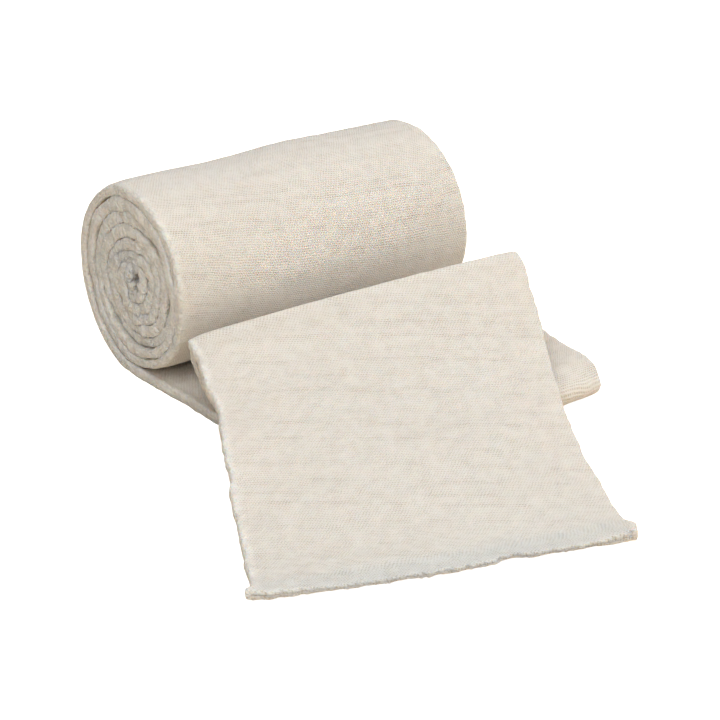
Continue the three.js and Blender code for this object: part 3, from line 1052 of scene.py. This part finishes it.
class BandageSize(bpy.types.PropertyGroup):
    """Sizes of the cloth and of the roll."""

    roll_radius: FloatProperty(
        name="Roll Radius", description="Outer side of the last turn", default=0.0319, unit="LENGTH"
    )
    cloth_width: FloatProperty(
        name="Cloth Width", description="The tube pressed flat, edge to edge", default=0.1, unit="LENGTH"
    )
    cloth_thickness: FloatProperty(
        name="Cloth Thickness", description="Both plies and the air between", default=0.0031, unit="LENGTH"
    )
    wound_thickness: FloatProperty(
        name="Wound Thickness", description="The same inside the roll", default=0.0036, unit="LENGTH"
    )
    turn_pitch: FloatProperty(
        name="Turn Pitch", description="From one turn to the next", default=0.0037, unit="LENGTH"
    )
    turns: FloatProperty(
        name="Turns", description="From where the cloth leaves the roll to the core", default=7.52
    )
    flat_spot: FloatProperty(
        name="Flat Spot",
        description="How far the roll is pressed onto the surface",
        default=0.0011,
        unit="LENGTH",
    )
    oval: FloatProperty(
        name="Oval", description="How much the turns sag out of round", default=0.0013, unit="LENGTH"
    )
    core_oval: FloatProperty(
        name="Core Oval",
        description="How much flatter the turns at the core are",
        default=0.001,
        unit="LENGTH",
    )
    core_turn: FloatProperty(
        name="Core Lean", description="Turn at which the flat core reaches furthest", default=0.96
    )
    oval_turn: FloatProperty(
        name="Oval Lean", description="Turn at which the sagging turns reach furthest", default=0.172
    )
    leave_turn: FloatProperty(
        name="Leaving Turn", description="Where the last turn comes down to the surface", default=0.045
    )
    right_short: FloatProperty(
        name="Right Short",
        description="How far the roll's right end stays back",
        default=0.0011,
        unit="LENGTH",
    )
    row_step: FloatProperty(
        name="Row Step",
        description="Between two sections of the outer turn",
        default=0.00095,
        unit="LENGTH",
    )
    inner_step: FloatProperty(
        name="Inner Step",
        description="Between two sections of the turns inside it",
        default=0.0005,
        unit="LENGTH",
    )

    # The same in the millimetres of the tables

    @property
    def radius(self):
        return self.roll_radius / MM

    @property
    def centre(self):
        """How high the middle of the roll stands."""
        return (self.roll_radius - self.flat_spot) / MM

    @property
    def pitch(self):
        return self.turn_pitch / MM

    @property
    def thickness(self):
        return self.cloth_thickness / MM

    @property
    def wound(self):
        return self.wound_thickness / MM


class KnitLook(bpy.types.PropertyGroup):
    """Colours and scale of the knit."""

    yarn_colour: FloatVectorProperty(
        name="Yarn", description="Undyed cotton", subtype="COLOR", size=3, default=(0.9, 0.84, 0.765)
    )
    # Colour of the painted shade in the pits between the stitches and in the fuzz's low spots; the yarn's
    # colour is mixed towards it
    painted_shade_colour: FloatVectorProperty(
        name="Painted Shade", description="Between the stitches", subtype="COLOR", size=3, default=(0.6, 0.5, 0.39)
    )
    row_pitch: FloatProperty(
        name="Row Pitch", description="From one row to the next", default=0.00065, unit="LENGTH"
    )
    stitch_pitch: FloatProperty(
        name="Stitch Pitch", description="From one stitch to the next", default=0.0008, unit="LENGTH"
    )
    wobble: FloatProperty(
        name="Wobble", description="How far the rows waver", default=0.00035, unit="LENGTH"
    )
    relief: FloatProperty(
        name="Relief", description="Height of the stitches", default=0.00045, unit="LENGTH"
    )
    fold_tufts: FloatProperty(
        name="Fold Tufts", description="Fuzz on the folded edges, against the stitches", default=3.4
    )
    # How strong the random patches of painted shade are on the folded edges
    fold_shade_patches: FloatProperty(
        name="Fold Blots", description="How unevenly the fuzz shades the folded edges", default=0.26
    )
    fuzz: FloatProperty(name="Fuzz", description="Share of the relief that is loose fibre", default=0.5)
    # How strongly the knit's pits are darkened with painted shade
    pit_shade: FloatProperty(
        name="Pit Shade", description="How dark the pits between stitches are", default=1.2
    )


class StageLook(bpy.types.PropertyGroup):
    """Floor, lights and camera."""

    floor_colour: FloatVectorProperty(
        name="Floor", description="Plain pale floor", subtype="COLOR", size=3, default=(0.88, 0.76, 0.6)
    )
    floor_glow: FloatProperty(
        name="Floor Glow", description="Light table below the floor, seen by the camera", default=1.0
    )
    room_light: FloatProperty(name="Room Light", description="Even light from all round", default=0.05)
    key_watts: FloatProperty(
        name="Key Light", description="Large soft light above the front left", default=8.9, unit="POWER"
    )
    right_watts: FloatProperty(
        name="Right Light", description="Large soft light at the front right", default=4.6, unit="POWER"
    )
    top_watts: FloatProperty(
        name="Top Light", description="Large soft light above the right", default=3.0, unit="POWER"
    )
    back_watts: FloatProperty(
        name="Back Light", description="Soft light above and behind the roll", default=3.6, unit="POWER"
    )


# Pieces


class OBJECT_OT_wind_bandage(bpy.types.Operator):
    """Winds the flat tube into its roll and lays out the loose end"""

    bl_idname = "object.wind_bandage"
    bl_label = "Wind the Bandage"

    def execute(self, context):
        look = context.scene.bandage_knit
        skin = Skin(Lie(context.scene.bandage_size))
        mesh = skin_mesh(skin)
        cloth = make_piece("bandage_cloth", mesh.points, mesh.faces, mesh.maps)
        width = skin.mapped_width()
        knit = cotton_material("cream knit", width, look, CLOTH_FIBRE, fuzz_group(), knit_group())
        cloth.data.materials.append(knit)
        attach(cloth, "root")
        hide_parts("bandage")
        return {"FINISHED"}


class OBJECT_OT_fray_cut(bpy.types.Operator):
    """Frays the cut of the wound bandage into small loops of yarn"""

    bl_idname = "object.fray_cut"
    bl_label = "Fray the Cut"

    def execute(self, context):
        size = context.scene.bandage_size
        look = context.scene.bandage_knit
        fuzz = bpy.data.node_groups[FUZZ_GROUP]
        skin = Skin(Lie(size))
        loops = make_piece("cut_yarn", *yarn_loops(skin))
        yarn = cotton_material("cut yarn", skin.mapped_width(), look, YARN_FIBRE, fuzz)
        loops.data.materials.append(yarn)
        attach(loops, "root")
        return {"FINISHED"}


class SCENE_OT_bandage_stage(bpy.types.Operator):
    """Sets out the pale floor, the soft lights and the camera"""

    bl_idname = "scene.bandage_stage"
    bl_label = "Set the Stage"

    def execute(self, context):
        look = context.scene.bandage_stage
        bpy.ops.mesh.primitive_plane_add(size=FLOOR_SIZE)
        floor = context.active_object
        floor.name = "floor"
        floor.data.materials.append(floor_material(look))
        floor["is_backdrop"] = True
        world = bpy.data.worlds.new("soft room")
        context.scene.world = world
        world.use_nodes = True
        sky = world.node_tree.nodes["Background"]
        sky.inputs["Color"].default_value = (1, 1, 1, 1)
        sky.inputs["Strength"].default_value = look.room_light
        for light in LIGHTS:
            lamp = bpy.data.lights.new(light["name"], "AREA")
            lamp.size = LIGHT_WIDTH
            lamp.energy = getattr(look, light["watts"])
            aim(lamp, light["place"], LIGHT_AIM)
        camera = bpy.data.cameras.new("camera")
        camera.sensor_width = SENSOR
        camera.lens = LENS
        camera.clip_start, camera.clip_end = 0.01, 50
        place, target = ((np.array(point) - ORIGIN) * MM for point in (CAMERA_PLACE, CAMERA_AIM))
        context.scene.camera = aim(camera, place, target)
        context.scene.view_settings.view_transform = "Standard"
        return {"FINISHED"}


def floor_material(look):
    """Pale paper that the camera sees lit from below as well."""
    paper = bpy.data.materials.new("floor paper")
    paper.use_nodes = True
    w = Wiring(paper.node_tree)
    shader = paper.node_tree.nodes["Principled BSDF"]
    shader.inputs["Base Color"].default_value = (*look.floor_colour, 1)
    shader.inputs["Roughness"].default_value = 0.9
    shader.inputs["Emission Color"].default_value = (1, 1, 1, 1)
    seen = w.node("ShaderNodeLightPath").outputs["Is Camera Ray"]
    w.feed(shader.inputs["Emission Strength"], w.sum("MULTIPLY", seen, look.floor_glow))
    return paper


def aim(device, place, target):
    """An object for a light or a camera that stands at a place and faces a target."""
    made = bpy.data.objects.new(device.name, device)
    bpy.context.scene.collection.objects.link(made)
    made.location = place
    made.rotation_mode = "QUATERNION"
    made.rotation_quaternion = Vector(np.subtract(target, place)).to_track_quat("-Z", "Y")
    return made


class VIEW3D_PT_bandage(bpy.types.Panel):
    """The bandage's sizes, look and steps"""

    bl_label = "Bandage"
    bl_space_type = "VIEW_3D"
    bl_region_type = "UI"
    bl_category = "Bandage"

    def draw(self, context):
        layout = self.layout
        for name in SETTINGS:
            box = layout.box()
            group = getattr(context.scene, name)
            for prop in group.bl_rna.properties:
                if not prop.is_readonly and prop.identifier != "name":
                    box.prop(group, prop.identifier)
        for step in STEPS:
            layout.operator(step.bl_idname)


SETTINGS = {
    "bandage_size": BandageSize,
    "bandage_knit": KnitLook,
    "bandage_stage": StageLook,
}
STEPS = (
    OBJECT_OT_wind_bandage,
    OBJECT_OT_fray_cut,
    SCENE_OT_bandage_stage,
)
CLASSES = (
    *SETTINGS.values(),
    *STEPS,
    VIEW3D_PT_bandage,
)


def register():
    for cls in CLASSES:
        bpy.utils.register_class(cls)
    for name, cls in SETTINGS.items():
        setattr(bpy.types.Scene, name, PointerProperty(type=cls))


def unregister():
    for name in SETTINGS:
        delattr(bpy.types.Scene, name)
    for cls in reversed(CLASSES):
        bpy.utils.unregister_class(cls)


def main():
    register()
    bpy.ops.object.wind_bandage()
    bpy.ops.object.fray_cut()
    bpy.ops.scene.bandage_stage()
    boxes = {"cad": CAD_BOX, "visual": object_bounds()}
    {name: [list(corner) for corner in box] for name, box in boxes.items()}


if __name__ == "__main__":
    main()
